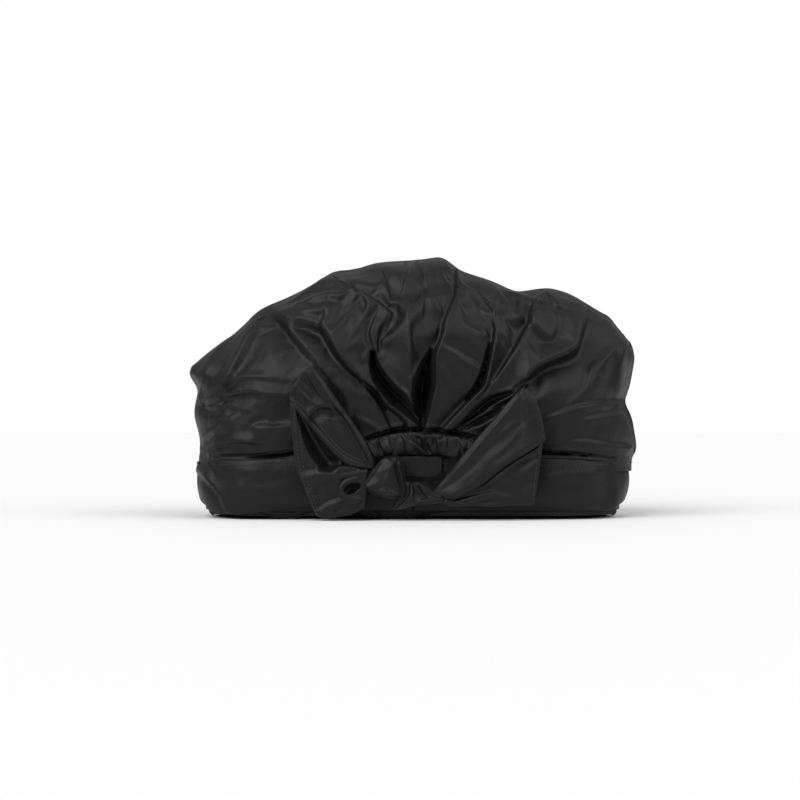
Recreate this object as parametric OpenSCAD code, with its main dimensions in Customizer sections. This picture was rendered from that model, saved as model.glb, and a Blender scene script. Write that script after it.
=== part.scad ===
// Turban shower cap: a gathered nylon crown on a turned-up cuff, with an elastic
// rim, a waterproof lining and a knotted bow at the front. Millimetres, +Z up, the
// front faces -Y, and the cap stands on its rim with the opening down.
// The rim is drawn stretched sideways: both cuff ends slide inwards as it relaxes.

/* [Rim] */
// Half length of the straight run of the rim
rim_straight = 100; // [85:1:110]
// Radius of the round ends of the rim, which is half its depth
rim_radius = 50; // [44:1:56]
// Height of the cuff's top edge
cuff_top = 40; // [36:1:46]
// Height of the cuff's bottom edge at its ends
cuff_bottom = 4; // [3:0.5:8]
// Thickness of the folded cuff
cuff_wall = 1.4; // [1:0.1:1.8]
// How far each cuff end slides inwards as the elastic relaxes
relax_travel = 45; // [20:1:45]

/* [Elastic] */
// Height of the ruched casing round the rim
casing_h = 12; // [10:0.5:16]
// Thickness of the ruched casing, front to back
casing_t = 6; // [5:0.5:7]
// Width of the flat rim elastic
elastic_w = 8; // [6:0.5:9]
// Thickness of the elastic
elastic_t = 1.2; // [0.8:0.1:1.5]

/* [Crown] */
// Height of the top of the crown
crown_top = 184; // [170:1:200]
// Half width of the crown at its widest
crown_half_w = 158; // [154:1:166]
// Half depth of the crown at its deepest
crown_half_d = 66; // [60:1:70]
// Height at which the crown is widest
crown_belly = 100; // [90:1:115]
// Thickness of the crown's solid, which is several times its cloth's
crown_wall = 1.2; // [1:0.1:1.6]

/* [Front gather] */
// Centre of the gathered arch, from the middle of the cap
arch_x = 5; // [0:1:8]
// Half width of the gathered arch
arch_half_w = 41; // [36:1:44]
// Height of the top of the arch
arch_top = 61; // [58:1:66]
// Height of the ruched band under the arch
arch_band = 16; // [12:1:18]

/* [Bow] */
// Front face of the bow, measured from the middle of the cap
bow_front = 74; // [70:1:78]
// Back face of the two tails
tail_back = 59.3; // [59:0.1:62]
// Radius of each tail's gathered neck, where it swings
neck_r = 4.2; // [3:0.1:4.5]
// Radius of the straps that run through the knot
tie_r = 4; // [3:0.1:4.2]

/* [Hidden] */

$fn = 96;
fabric = "#24262a";
fabric_inner = "#1c1e21";
lining_tone = "#2c2e31";
elastic_tone = "#18191b";
thread_tone = "#101112";

gap = 0.4;             // clearance between layers that slide past each other
seam_gap = 0.2;        // clearance between layers of one body
thread_t = 0.5;        // thickness of sewing thread

cuff_in = rim_radius - cuff_wall;              // inside of the sliding cuff ends
fixed_cuff_r = cuff_in - gap;                  // outside of the fixed cuff pieces
band_r = fixed_cuff_r - cuff_wall - seam_gap;  // outside of the inner band
band_wall = 1.2;
casing_r = band_r - band_wall - seam_gap;      // outside of the rim casing
casing_wall = 0.8;
arm_end = 52;                                  // where a cuff end's arms stop
fixed_end = rim_straight - relax_travel - 7;   // where the fixed cuff pieces stop
crown_base = cuff_top + 0.5;
base_half_d = band_r + 1.4;                    // the crown's half depth at its base

// ---- plan shapes ----

module stadium(r) {
    square([2 * rim_straight, 2 * r], center = true);
    for (side = [-1, 1])
        translate([side * rim_straight, 0]) circle(r);
}

// A band that follows the rim, from height z0 to z1
module rim_ring(outer, inner, z0, z1) {
    translate([0, 0, z0])
        linear_extrude(z1 - z0)
            difference() {
                stadium(outer);
                stadium(inner);
            }
}

// What is drawn is kept from x0 to x1 and from y0 to y1
module only_between(x0, x1, y0, y1) {
    intersection() {
        children();
        translate([x0, y0, -1]) cube([x1 - x0, y1 - y0, crown_top]);
    }
}

// A flat piece seen from the front: its outline lies in X and Z
module front_plate(y_back, y_front) {
    translate([0, -y_back, 0])
        rotate([90, 0, 0])
            linear_extrude(y_front - y_back)
                children();
}

// ---- crown and lining ----

rings = 13;            // rings up the crown
end_columns = 14;      // columns round each end of the crown
front_columns = 26;    // columns along its front
back_columns = 10;     // columns along its back

// Each column of a shell is a place on the straight run, from -1 to 1, and an angle
columns = concat(
    [for (i = [0 : end_columns - 1]) [1, -90 + 180 * i / end_columns]],
    [for (i = [0 : back_columns - 1]) [1 - 2 * i / back_columns, 90]],
    [for (i = [0 : end_columns - 1]) [-1, 90 + 180 * i / end_columns]],
    [for (i = [0 : front_columns - 1]) [-1 + 2 * i / front_columns, 270]]
);
sides = len(columns);

function rise(z) = sin(90 * max(0, min(1, (z - crown_base) / (crown_belly - crown_base))));
function over(z) = max(0, (z - crown_belly) / (crown_top - crown_belly));

// Half width and half depth of the outside of the crown at height z
function crown_w(z) = z < crown_belly
    ? rim_straight + base_half_d + (crown_half_w - rim_straight - base_half_d) * rise(z)
    : crown_half_w * pow(max(0, 1 - pow(over(z), 1.6)), 0.625);
function crown_d(z) = z < crown_belly
    ? base_half_d + (crown_half_d - base_half_d) * rise(z)
    : crown_half_d * sqrt(max(0, 1 - pow(over(z), 2)));
top_shift_x = 12;                            // how far the crown's top is off the middle
belly_shift_y = bow_front - crown_half_d;    // how far the full crown sits back
function shift_x(z) = top_shift_x * over(z);
function shift_y(z) = belly_shift_y * rise(z);

// A point of the shell that lies `inset` inside the crown, in a column at height z
function shell_point(column, z, inset) =
    let (scale_up = (crown_top - crown_base) / (crown_top - inset - crown_base),
         z_outside = z < crown_base ? z : crown_base + (z - crown_base) * scale_up,
         d = crown_d(z_outside) - inset,
         w = max(d, crown_w(z_outside) - inset))
    [shift_x(z) + (w - d) * column[0] + d * cos(column[1]),
     shift_y(z) + d * sin(column[1]), z];

// Height of a shell's lower edge in a column; the crown's rises over the front arch
function edge_height(column, arched) =
    let (off = abs(rim_straight * column[0] - arch_x))
    arched && column[1] == 270 && off < arch_half_w + arch_clear
        ? arch_centre + sqrt(pow(arch_r, 2) - pow(min(off, arch_half_w), 2)) + arch_seam_gap
        : crown_base;

function shell_ring(i, inset, arched, skirt) = [
    for (column = columns)
        let (z0 = edge_height(column, arched),
             z = i < 0 ? z0 - skirt : z0 + (crown_top - inset - z0) * sin(89 * i / rings))
        shell_point(column, z, inset)
];

// A closed shell of the crown's shape; its skirt hangs straight down below the crown
module shell(outer_inset, wall, arched, skirt) {
    inner_inset = outer_inset + wall;
    first = skirt > 0 ? -1 : 0;
    rows = rings - first;
    outer = [for (i = [first : rings - 1]) each shell_ring(i, outer_inset, arched, skirt)];
    inner = [for (i = [first : rings - 1]) each shell_ring(i, inner_inset, arched, skirt)];
    n = sides * rows;
    tops = [for (inset = [outer_inset, inner_inset])
                [shift_x(crown_top), shift_y(crown_top), crown_top - inset]];
    walls = [
        for (i = [0 : rows - 2], s = [0 : sides - 1])
            let (a = i * sides + s, b = i * sides + (s + 1) % sides,
                 c = a + sides, d = b + sides)
            each [[a, c, b], [b, c, d], [n + a, n + b, n + c], [n + b, n + d, n + c]]
    ];
    caps = [
        for (s = [0 : sides - 1])
            let (a = (rows - 1) * sides + s, b = (rows - 1) * sides + (s + 1) % sides)
            each [[a, 2 * n, b], [n + a, n + b, 2 * n + 1]]
    ];
    hem = [
        for (s = [0 : sides - 1])
            let (b = (s + 1) % sides)
            each [[s, b, n + s], [b, n + b, n + s]]
    ];
    polyhedron(concat(outer, inner, tops), concat(walls, caps, hem), convexity = 6);
}

module crown() {
    color(fabric) shell(0, crown_wall, true, 0);
}

lining_inset = 3.2;
lining_wall = 0.8;
module crown_lining() {
    color(lining_tone) shell(lining_inset, lining_wall, false, crown_base - casing_h - 0.4);
}

// ---- cuff and rim ----

module inner_band() {
    color(fabric_inner)
        rim_ring(band_r, band_r - band_wall, cuff_bottom + 1, cuff_top + 0.3);
}

module cuff_end(side) {
    reach = rim_straight + rim_radius + 1;
    x0 = side < 0 ? -reach : arm_end;
    color(fabric)
        only_between(x0, x0 + reach - arm_end, -rim_radius - 1, rim_radius + 1)
            rim_ring(rim_radius, cuff_in, cuff_bottom, cuff_top);
}
module cuff_left_end() cuff_end(-1);
module cuff_right_end() cuff_end(1);

module fixed_cuff(x0, x1, y0, y1) {
    color(fabric)
        only_between(x0, x1, y0, y1)
            rim_ring(fixed_cuff_r, fixed_cuff_r - cuff_wall, cuff_bottom + 1, cuff_top);
}
module cuff_front_left() fixed_cuff(-arm_end - 4, -34, -rim_radius, 0);
module cuff_front_right() fixed_cuff(arch_x + 33, arm_end + 4, -rim_radius, 0);
module cuff_back() fixed_cuff(-arm_end - 4, arm_end + 4, 0, rim_radius);

// The elastic's tunnel: a fold of fabric, closed underneath and sewn at the top
module rim_casing() {
    floor_t = 1;
    color(fabric_inner)
        difference() {
            rim_ring(casing_r, casing_r - casing_t, 0, casing_h);
            rim_ring(casing_r - casing_wall, casing_r - casing_t + casing_wall,
                     floor_t, casing_h + 1);
        }
}
module rim_elastic() {
    middle = casing_r - casing_t / 2;
    color(elastic_tone)
        rim_ring(middle + elastic_t / 2, middle - elastic_t / 2, 2, 2 + elastic_w);
}

// ---- front gather ----

arch_drop = 9;                               // how far the arch's ends lie below its top
arch_r = (pow(arch_half_w, 2) + pow(arch_drop, 2)) / (2 * arch_drop);
arch_centre = arch_top - arch_r;
arch_back = rim_radius + 0.6;                // back of the ruched band
arch_front = arch_back + 6.4;                // front of the ruched band
arch_clear = 9;                              // how far past the arch the crown's edge rises
arch_seam_gap = 0.6;                         // gap between the arch and the crown's edge
module arch_strip(outer, inner, low, half_w) {
    intersection() {
        difference() {
            translate([arch_x, arch_centre]) circle(outer, $fn = 180);
            translate([arch_x, arch_centre]) circle(inner, $fn = 180);
        }
        translate([arch_x - half_w, low]) square([2 * half_w, arch_top]);
    }
}
module front_casing() {
    wall = 1;
    color(fabric)
        difference() {
            front_plate(arch_back, arch_front)
                arch_strip(arch_r, arch_r - arch_band, cuff_top + 0.6, arch_half_w);
            front_plate(arch_back + wall, arch_front - wall)
                arch_strip(arch_r - wall, arch_r - arch_band - 1, 0, arch_half_w - wall);
        }
}
module front_elastic() {
    middle = (arch_back + arch_front) / 2;
    color(elastic_tone)
        front_plate(middle - elastic_t / 2, middle + elastic_t / 2)
            arch_strip(arch_r - 2, arch_r - 2 - elastic_w, cuff_top + 2, arch_half_w - 3);
}

// The plain panel behind the knot, with one rounded lower corner
panel_left = -32;
panel_right = 36;
panel_low = 22;
panel_corner = 8;
module front_panel() {
    color(fabric)
        front_plate(fixed_cuff_r - cuff_wall, fixed_cuff_r)
            difference() {
                translate([panel_left, panel_low])
                    square([panel_right - panel_left, cuff_top - panel_low]);
                translate([panel_right - panel_corner, panel_low + panel_corner])
                    difference() {
                        translate([0, -panel_corner]) square(panel_corner);
                        circle(panel_corner);
                    }
            }
}

// ---- bow ----

// Each tail swings on its gathered neck, which stands upright beside the knot
left_neck = -38;
right_neck = 20;
neck_y = -(tail_back + bow_front) / 2 + 1.5;
left_outline = [
    [-36, 22], [-36, 40], [-41, 60], [-51, 77], [-66, 102], [-76, 99], [-86, 83],
    [-84, 58], [-82, 37], [-78, 24], [-73, 11], [-68, 3], [-57, 1], [-46, 2], [-38, 9]
];
right_outline = [
    [18, 14], [24, 24], [33, 33], [46, 52], [60, 70], [77, 88], [83, 85], [88, 66],
    [92, 52], [90, 38], [88, 25], [86, 8], [74, 5], [53, 3], [38, 5], [26, 8]
];

// Outline seen from above: thin at the neck, full thickness from there outwards
module tail_plan(neck, side, reach) {
    near = neck + side * 9;
    far = neck + side * reach;
    linear_extrude(crown_top)
        polygon([[neck, neck_y + neck_r - 0.4], [near, -tail_back], [far, -tail_back],
                 [far, -bow_front + 0.5], [near, -bow_front + 0.5],
                 [neck, neck_y - neck_r + 0.4]]);
}
module tail(outline, neck, side, neck_z0, neck_z1) {
    color(fabric)
        union() {
            intersection() {
                front_plate(tail_back, bow_front) polygon(outline);
                tail_plan(neck, side, 80);
            }
            translate([neck, neck_y, neck_z0]) cylinder(h = neck_z1 - neck_z0, r = neck_r);
        }
}
module left_tail() tail(left_outline, left_neck, -1, 16, 40);
module right_tail() tail(right_outline, right_neck, 1, 8, 26);

// The wrap of the knot, with the two straps running through it from side to side
knot_x = -18;
knot_z = 25;
tie_y = -(rim_radius + 1 + tie_r);
tie_z = 22;
module knot_wrap() {
    blobs = [[0, 11, 5], [-7, -3, 7.5], [7, -5, 7]];
    color(fabric)
        difference() {
            hull()
                for (b = blobs, y = [-rim_radius - 1 - b[2], -bow_front + b[2]])
                    translate([knot_x + b[0], y, knot_z + b[1]]) sphere(b[2], $fn = 28);
            translate([knot_x - 30, tie_y, tie_z])
                rotate([0, 90, 0]) cylinder(h = 60, r = tie_r + 0.1);
        }
}
// A strap: a round run through the knot, then a run that drops towards the cuff.
// The cloth bunches at its bend and at its end, so those are a little fatter.
module tie(x_knot, x_out, x_end, z_end) {
    dx = x_end - x_out;
    dz = z_end - tie_z;
    bunch_r = tie_r + 0.3;
    color(fabric) {
        translate([min(x_knot, x_out), tie_y, tie_z])
            rotate([0, 90, 0]) cylinder(h = abs(x_out - x_knot), r = tie_r);
        translate([x_out, tie_y, tie_z])
            rotate([0, atan2(dx, dz), 0]) cylinder(h = norm([dx, dz]), r = tie_r);
        for (end = [[x_out, tie_z], [x_end, z_end]])
            translate([end[0], tie_y, end[1]]) sphere(bunch_r);
    }
}
module left_tie() tie(knot_x - 0.2, -33, -38, 14);
module right_tie() tie(knot_x + 0.2, 0, 12, 14);

// ---- sewing thread ----

// The seam where the gathered crown is sewn to the ruched band
module crown_seam_thread() {
    color(thread_tone)
        front_plate(arch_front, arch_front + thread_t)
            arch_strip(arch_r - 0.6, arch_r - 0.6 - thread_t, cuff_top, arch_half_w - 1);
}
module cuff_hem_thread() {
    color(thread_tone)
        only_between(-fixed_end, fixed_end, 0, rim_radius)
            rim_ring(fixed_cuff_r + seam_gap, fixed_cuff_r, cuff_bottom + 4,
                     cuff_bottom + 4 + thread_t);
}
module rim_hem_thread() {
    inside = casing_r - casing_t;
    color(thread_tone)
        rim_ring(inside, inside - thread_t, casing_h - 2, casing_h - 2 + thread_t);
}
module panel_thread() {
    color(thread_tone)
        front_plate(fixed_cuff_r, fixed_cuff_r + thread_t / 2)
            translate([panel_right - 3, panel_low + panel_corner])
                square([thread_t, cuff_top - panel_low - panel_corner - 2]);
}

// A row of stitches along a tail's hem, from one point of its outline to the next
stitch = 2.4;          // length of a stitch
stitch_pitch = 3.2;
module stitch_row(from, to) {
    run = to - from;
    count = floor(norm(run) / stitch_pitch);
    for (i = [0 : count - 1])
        translate([from[0], -bow_front + 0.5, from[1]] +
                  [run[0], 0, run[1]] * (i + 0.5) / count)
            rotate([0, atan2(run[0], run[1]), 0])
                translate([0, -thread_t / 2, 0])
                    cube([thread_t, thread_t, stitch], center = true);
}
module left_tail_thread() {
    color(thread_tone) {
        stitch_row([-82, 82], [-80, 58]);
        stitch_row([-80, 56], [-77.5, 36]);
        stitch_row([-77, 33], [-70, 12]);
    }
}
module right_tail_thread() {
    color(thread_tone) {
        stitch_row([79, 82], [84, 66]);
        stitch_row([84.4, 64], [87.6, 53]);
        stitch_row([87, 49], [82.4, 10]);
    }
}

crown();
crown_lining();
inner_band();
cuff_left_end();
cuff_right_end();
cuff_front_left();
cuff_front_right();
cuff_back();
rim_casing();
rim_elastic();
front_casing();
front_elastic();
front_panel();
left_tail();
right_tail();
knot_wrap();
left_tie();
right_tie();
crown_seam_thread();
cuff_hem_thread();
rim_hem_thread();
panel_thread();
left_tail_thread();
right_tail_thread();
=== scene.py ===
import math
import bpy
import numpy as np
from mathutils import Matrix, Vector, kdtree, noise


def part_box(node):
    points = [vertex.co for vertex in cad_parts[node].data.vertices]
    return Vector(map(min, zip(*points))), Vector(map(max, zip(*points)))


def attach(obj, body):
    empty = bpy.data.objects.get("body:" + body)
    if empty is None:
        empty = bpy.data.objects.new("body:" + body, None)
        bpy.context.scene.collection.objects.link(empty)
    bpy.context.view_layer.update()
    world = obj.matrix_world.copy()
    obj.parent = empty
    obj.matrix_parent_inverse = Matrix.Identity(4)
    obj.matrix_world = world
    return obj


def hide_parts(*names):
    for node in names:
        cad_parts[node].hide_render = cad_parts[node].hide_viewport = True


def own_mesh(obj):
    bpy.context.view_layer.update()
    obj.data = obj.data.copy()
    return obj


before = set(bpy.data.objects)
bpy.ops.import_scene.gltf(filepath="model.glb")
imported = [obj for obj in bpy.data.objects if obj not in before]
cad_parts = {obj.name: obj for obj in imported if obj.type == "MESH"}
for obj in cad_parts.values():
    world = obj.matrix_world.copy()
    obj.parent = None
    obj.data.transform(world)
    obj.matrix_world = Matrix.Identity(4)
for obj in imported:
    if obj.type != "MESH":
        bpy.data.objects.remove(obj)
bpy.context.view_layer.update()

# ---- Camera ----
# A long lens looks straight at the front of the cap, from a metre and a half away
# and about as high as the middle of the crown.
CAMERA_LENS = 100
CAMERA_PLACE = Vector((-0.0092, -1.578, 0.0824))
camera_data = bpy.data.cameras.new("camera")
camera_data.lens = CAMERA_LENS
camera_data.sensor_width = 36
camera = bpy.data.objects.new("camera", camera_data)
camera.location = CAMERA_PLACE
camera.rotation_euler = (math.radians(90), 0, 0)
bpy.context.scene.collection.objects.link(camera)
bpy.context.scene.camera = camera


# ---- Crown ----
# The crown is one big piece of black satin nylon. It is gathered hard into the front
# seam, and eased onto the rim at the back, so that it puffs out between the two.
MM = 0.001
CROWN_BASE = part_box("crown")[0].z / MM
# Half the straight run of the rim's long sides, and the radius of the crown's hem there
RIM_STRAIGHT = 100
CROWN_BASE_D = 47.9
# The crown is widest and deepest at its belly, which sits a little behind the rim
BELLY = 100
CROWN_HALF_W = 158
BELLY_HALF_D = 65
BELLY_SHIFT_Y = 8
CROWN_TOP = 184
# The hem hangs this far below the crown's base, behind the cuff
CROWN_SKIRT = 8
# How square the crown's hump and its plan are, 2 for an ellipse, and how much wider it
# is than deep
HUMP_POWER = 1.55
PLAN_POWER = 2.3
WIDER = 2.2
# The crown's mesh is finer at the front
FRONT_COLUMNS = 210
BACK_COLUMNS = 64
CROWN_ROWS = 76
# The crest of the crown seen from the front, from its left end to its right end
CREST = [
    (-158, 104), (-146, 115), (-123, 132), (-105, 147), (-84, 159), (-60, 173),
    (-41, 177), (-14, 181), (21, 184), (31, 176), (51, 168), (73, 160), (97, 161),
    (111, 157), (127, 147), (146, 135), (155, 124), (158, 112),
]
# Half widths of the crown below its belly: height, left, right
FLANKS = [
    (40, 152, 155), (49, 151, 157), (63, 153, 156), (71, 156, 155), (79, 155, 149),
    (90, 152, 152), (102, 162, 155), (114, 148, 158), (124, 136, 156),
]


def deselect():
    for piece in bpy.context.selected_objects:
        piece.select_set(False)


def only(piece):
    """piece is the one selected and active object."""
    deselect()
    piece.select_set(True)
    bpy.context.view_layer.objects.active = piece
    return piece


def apply_modifiers(piece):
    only(piece)
    for modifier in list(piece.modifiers):
        bpy.ops.object.modifier_apply(modifier=modifier.name)
    return piece


def vertex_values(piece, kind):
    values = np.empty(len(piece.data.vertices) * 3)
    piece.data.vertices.foreach_get(kind, values)
    return values.reshape(-1, 3)


def set_places(piece, places):
    piece.data.vertices.foreach_set("co", (places * MM).ravel())
    piece.data.update()


def grid_piece(name, columns, rows, place, scale):
    """A closed grid whose vertices place(u, v) puts in mm, u and v from 0 to 1, with a
    UV map in the cloth's own millimetres. Vertices at the same place are joined."""
    deselect()
    bpy.ops.mesh.primitive_grid_add(x_subdivisions=columns, y_subdivisions=rows, size=1)
    piece = bpy.context.object
    piece.name = piece.data.name = name
    mesh = piece.data
    flat = vertex_values(piece, "co") + 0.5
    u = np.round(flat[:, 0] * columns) / columns
    v = np.round(flat[:, 1] * rows) / rows
    corners = np.empty(len(mesh.loops), int)
    mesh.loops.foreach_get("vertex_index", corners)
    uv = np.stack([u[corners] * scale[0], v[corners] * scale[1]], 1)
    mesh.uv_layers[0].data.foreach_set("uv", uv.ravel())
    set_places(piece, place(u, v))
    bpy.ops.object.mode_set(mode="EDIT")
    bpy.ops.mesh.select_all(action="SELECT")
    bpy.ops.mesh.remove_doubles(threshold=1e-6)
    bpy.ops.object.mode_set(mode="OBJECT")
    for polygon in mesh.polygons:
        polygon.use_smooth = True
    return piece


def vertex_places(piece):
    return vertex_values(piece, "co") / MM


def outward(piece):
    return vertex_values(piece, "normal")


def smooth_step(low, high, x):
    t = np.clip((x - low) / (high - low), 0, 1)
    return t * t * (3 - 2 * t)


def round_the_rim(u, front_share, straight=0.5):
    """Where u, from 0 to 1, is on a loop with straight sides and round ends: its place
    along the straight run, from -1 to 1, and the cosine and sine of its angle. It starts
    at the left end and takes front_share of u for the front."""
    front = u <= front_share
    half = np.where(front, u / front_share, (u - front_share) / (1 - front_share))
    corner = (1 - straight) / 2
    first = np.clip(half / corner, 0, 1)
    middle = np.clip((half - corner) / straight, 0, 1)
    last = np.clip((half - 1 + corner) / corner, 0, 1)
    angle = (1 + first / 2 + last / 2) * math.pi
    run = 2 * middle - 1
    return (np.where(front, run, -run), np.where(front, np.cos(angle), -np.cos(angle)),
            np.where(front, np.sin(angle), -np.sin(angle)))


def hump(share):
    """The height of a hump, from 1 in its middle to 0 where share is 1."""
    return np.maximum(1 - share ** HUMP_POWER, 0) ** (1 / HUMP_POWER)


def crown_place(u, v):
    """u runs round the crown from its left end along the front, and v from hem to top."""
    run, cos, sin = round_the_rim(u, FRONT_COLUMNS / (FRONT_COLUMNS + BACK_COLUMNS))
    skirt_v = 0.05
    belly_v = 0.38
    low = np.clip((v - skirt_v) / (belly_v - skirt_v), 0, 1)
    high = np.clip((v - belly_v) / (1 - belly_v), 0, 1)
    rise = np.sin(low ** 0.8 * math.pi / 2)
    over = np.sin(high * math.pi / 2)
    z = CROWN_BASE + (BELLY - CROWN_BASE) * low + (CROWN_TOP - BELLY) * over
    z = z - CROWN_SKIRT * np.clip(1 - v / skirt_v, 0, 1)
    base_w = RIM_STRAIGHT + CROWN_BASE_D
    half_w = np.where(high > 0, CROWN_HALF_W * hump(over), base_w + (CROWN_HALF_W - base_w) * rise)
    half_d = np.where(high > 0, BELLY_HALF_D * np.cos(high * math.pi / 2),
                      CROWN_BASE_D + (BELLY_HALF_D - CROWN_BASE_D) * rise)
    x = np.maximum(half_w - half_d, 0) * run + half_d * cos
    y = half_d * sin
    # The plan loses its straight sides towards the top
    width, depth = np.maximum(half_w, 0.01), np.maximum(half_d, 0.01)
    rounder = (np.abs(x) / width) ** PLAN_POWER + (np.abs(y) / depth) ** PLAN_POWER + 1e-9
    rounder = 1 + (rounder ** (-1 / PLAN_POWER) - 1) * smooth_step(60, 130, z)
    x, y = x * rounder, y * rounder + BELLY_SHIFT_Y * rise
    # The crest and the flanks follow their outlines, evened over a few millimetres
    crest_x, crest_z = np.array(CREST, float).T
    blur = 3 + 7 * smooth_step(5, 35, np.abs(y - BELLY_SHIFT_Y))
    crest = np.mean([np.interp(x + blur * step, crest_x, crest_z)
                     for step in np.linspace(-1, 1, 7)], axis=0)
    plain = hump(np.minimum(np.abs(x), CROWN_HALF_W - 0.1) / CROWN_HALF_W)
    stretch = np.clip((crest - BELLY) / np.maximum((CROWN_TOP - BELLY) * plain, 6), 0.7, 1.35)
    z = np.where(z > BELLY, BELLY + (z - BELLY) * stretch, z)
    flank_z, flank_left, flank_right = np.array(FLANKS, float).T
    flank = np.mean([np.where(x < 0, np.interp(z + step, flank_z, flank_left),
                              np.interp(z + step, flank_z, flank_right))
                     for step in (-4, -2, 0, 2, 4)], axis=0)
    at_end = smooth_step(0.75, 1, np.abs(x) / width) * (1 - smooth_step(110, 130, z))
    x = x * (1 + (flank / width - 1) * at_end)
    return np.stack([x, y, z], 1)


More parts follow.
